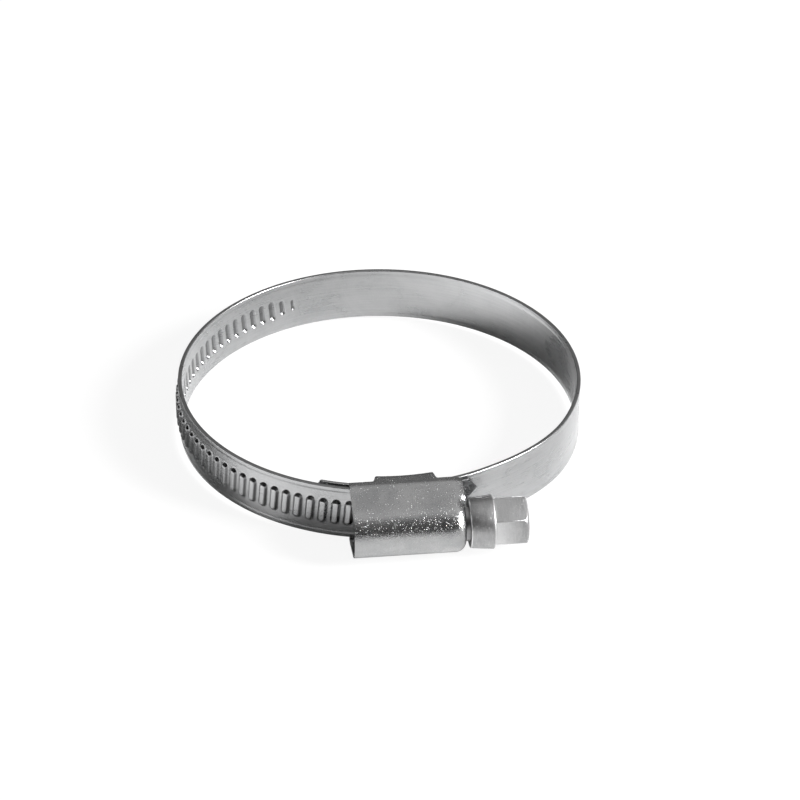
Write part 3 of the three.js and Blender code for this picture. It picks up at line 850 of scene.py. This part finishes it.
def makeHead():
    collar = revolve("screwCollar", [(head["collarFrom"], 0), (head["collarFrom"], head["collarLeft"]),
                                     (head["collarTo"], head["collarRight"]), (head["collarTo"], 0)])
    roundEdges(collar, head["collarRound"], 3, 40)
    bake(collar, "screwCollar")
    finishMesh(collar, screwSteel, wearFrom=14)

    corner = head["acrossFlats"] / 2 / math.cos(math.pi / 6)
    shape = bmesh.new()
    low, high = [], []
    for i in range(6):
        # a corner points this far above the level, away from the hose
        a = math.radians(180 - head["cornerTurn"] + 60 * i)
        y = screwAxis.y + corner * mm * math.cos(a)
        z = screwAxis.z + corner * mm * math.sin(a)
        low.append(shape.verts.new((hoseAxis.x + (head["collarTo"] - head["intoCollar"]) * mm, y, z)))
        high.append(shape.verts.new((hoseAxis.x + head["tip"] * mm, y, z)))
    shape.faces.new(low)
    shape.faces.new(high)
    for i in range(6):
        j = (i + 1) % 6
        shape.faces.new((low[i], low[j], high[j], high[i]))
    long = [edge for edge in shape.edges if abs(edge.verts[0].co.x - edge.verts[1].co.x) > mm]
    bmesh.ops.bevel(shape, geom=long, offset=head["cornerRound"] * mm, segments=3, profile=0.5,
                    affect="EDGES")
    bmesh.ops.recalc_face_normals(shape, faces=shape.faces)
    hexagon = fromShape(shape, "screwHexagon")

    # a dome cuts the head's end round
    reach = head["endRound"]
    wide = corner + head["domeClear"]
    profile = [(head["collarTo"] - 1, 0), (head["collarTo"] - 1, corner + head["domeBack"]),
               (head["tip"] - reach, wide)]
    fullTurn = math.pi / 2 * head["domeTurn"]
    for i in range(1, head["domeSteps"] + 1):
        a = fullTurn * i / head["domeSteps"]
        profile.append((head["tip"] - reach + reach * math.sin(a) / math.sin(fullTurn),
                        wide - reach * (1 - math.cos(a))))
    profile.append((head["tip"], 0))
    dome = revolve("headDome", profile)
    box = bmesh.new()
    bmesh.ops.create_cube(box, size=1.0)
    turn = math.radians(-head["cornerTurn"])
    for vert in box.verts:
        x, y, z = vert.co.x * 2 * head["slotDepth"], vert.co.y * head["slotWidth"], vert.co.z * 4 * corner
        vert.co = (hoseAxis.x + (head["tip"] + x) * mm,
                   screwAxis.y + (y * math.cos(turn) - z * math.sin(turn)) * mm,
                   screwAxis.z + (y * math.sin(turn) + z * math.cos(turn)) * mm)
    cutter = fromShape(box, "headSlot")
    for tool, operation in ((dome, "INTERSECT"), (cutter, "DIFFERENCE")):
        step = hexagon.modifiers.new(tool.name, "BOOLEAN")
        step.operation = operation
        step.object = tool
        step.solver = "EXACT"
    roundEdges(hexagon, head["edgeRound"], 2, 32)
    bake(hexagon, "screwHexagon")
    for tool in (dome, cutter):
        bpy.data.objects.remove(tool)
    finishMesh(hexagon, screwSteel, sharpFrom=30, wearFrom=12)
    for piece in (collar, hexagon):
        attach(piece, "screw")
    return collar, hexagon


thread = makeWorm()
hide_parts("worm_screw")
makeHead()
print("screw made")


studio = {
    "lens": 135.0, "sensor": 36.0, "distance": 0.480, "azimuth": -6.0, "elevation": 33.7,
    "shiftX": 0.0259, "shiftY": -0.0039, "floorSize": 1.6, "floorTone": 0.82, "fibreTone": 0.80,
    "floorGlow": 1.08, "floorGlowShare": 0.84,
}


def makeCamera():
    data = bpy.data.cameras.new("camera")
    data.lens = studio["lens"]
    data.sensor_width = studio["sensor"]
    data.shift_x = studio["shiftX"]
    data.shift_y = studio["shiftY"]
    data.clip_start = 0.01
    data.clip_end = 20
    camera = newObject("camera", data)
    az, el = math.radians(studio["azimuth"]), math.radians(studio["elevation"])
    away = Vector((math.sin(az) * math.cos(el), -math.cos(az) * math.cos(el), math.sin(el)))
    camera.location = hoseAxis + away * studio["distance"]
    camera.rotation_euler = (-away).to_track_quat("-Z", "Y").to_euler()
    bpy.context.scene.camera = camera


def makeFloor():
    size = studio["floorSize"] / 2
    mesh = bpy.data.meshes.new("floor")
    mesh.from_pydata([(-size, -size, 0), (size, -size, 0), (size, size, 0), (-size, size, 0)], [],
                     [(0, 1, 2, 3)])
    floor = newObject("floor", mesh)
    material = bpy.data.materials.new("white paper")
    material.use_nodes = True
    tree = material.node_tree
    tree.nodes.clear()
    sink = addNode(tree, "ShaderNodeOutputMaterial")
    tone, fibre = studio["floorTone"], studio["fibreTone"]
    fibres = addNode(tree, "ShaderNodeTexNoise", {
        "Vector": addNode(tree, "ShaderNodeTexCoord").outputs["Object"], "Scale": 900.0, "Detail": 3.0})
    shade = addNode(tree, "ShaderNodeMix", {0: fibres.outputs[0], 6: (fibre, fibre, fibre, 1),
                                            7: (tone, tone, tone, 1)}, data_type="RGBA")
    paper = addNode(tree, "ShaderNodeBsdfDiffuse", {"Color": shade.outputs[2], "Roughness": 0.5})
    glow = addNode(tree, "ShaderNodeEmission", {"Color": (1, 1, 1, 1), "Strength": studio["floorGlow"]})
    direct = addNode(tree, "ShaderNodeLightPath").outputs["Is Camera Ray"]
    share = calc(tree, "MULTIPLY", direct, studio["floorGlowShare"])
    both = addNode(tree, "ShaderNodeMixShader", {0: share, 1: paper.outputs[0], 2: glow.outputs[0]})
    tree.links.new(both.outputs[0], sink.inputs[0])
    mesh.materials.append(material)


# how the room's grey level goes: from, to, level before, level after
room = {
    "frontRise": (0.86, 0.985, 0.015, 0.68), "backRise": (0.5, 0.86, 0.09, 0.50),
    "sideways": (-0.8, 0.8, 0.4, 1.5), "frontFrom": 0.25, "frontFull": -0.25, "horizon": -0.02,
}


def makeRoom():
    # bright overhead, greyer behind, dark in front down to the horizon, and lighter on the right
    world = bpy.data.worlds.new("studio room")
    bpy.context.scene.world = world
    world.use_nodes = True
    tree = world.node_tree
    tree.nodes.clear()
    sink = addNode(tree, "ShaderNodeOutputWorld")
    direction = addNode(tree, "ShaderNodeTexCoord").outputs["Generated"]
    toward = addNode(tree, "ShaderNodeSeparateXYZ", {0: direction})
    up = toward.outputs[2]
    front = ease(tree, toward.outputs[1], room["frontFrom"], room["frontFull"])
    frontRise = ease(tree, up, *room["frontRise"])
    backRise = ease(tree, up, *room["backRise"])
    sideways = ease(tree, toward.outputs[0], *room["sideways"])
    level = addNode(tree, "ShaderNodeMix", {0: front, 2: backRise, 3: frontRise}, data_type="FLOAT")
    level = calc(tree, "MULTIPLY", level.outputs[0], sideways)
    level = calc(tree, "MULTIPLY", level, calc(tree, "GREATER_THAN", up, room["horizon"]))
    background = addNode(tree, "ShaderNodeBackground", {"Color": (1, 1, 1, 1), "Strength": level})
    tree.links.new(background.outputs[0], sink.inputs[0])


lights = {
    "window": {"place": (0.62, -0.28, 0.38), "size": 0.30, "power": 13.5},
}


def makeLights():
    for name, light in lights.items():
        data = bpy.data.lights.new(name, "AREA")
        data.shape = "SQUARE"
        data.size = light["size"]
        data.energy = light["power"]
        lamp = newObject(name, data)
        lamp.location = hoseAxis + Vector(light["place"])
        lamp.rotation_euler = (-Vector(light["place"])).to_track_quat("-Z", "Y").to_euler()


makeCamera()
makeFloor()
makeRoom()
makeLights()
bpy.context.scene.view_settings.view_transform = "Standard"
print("studio ready")
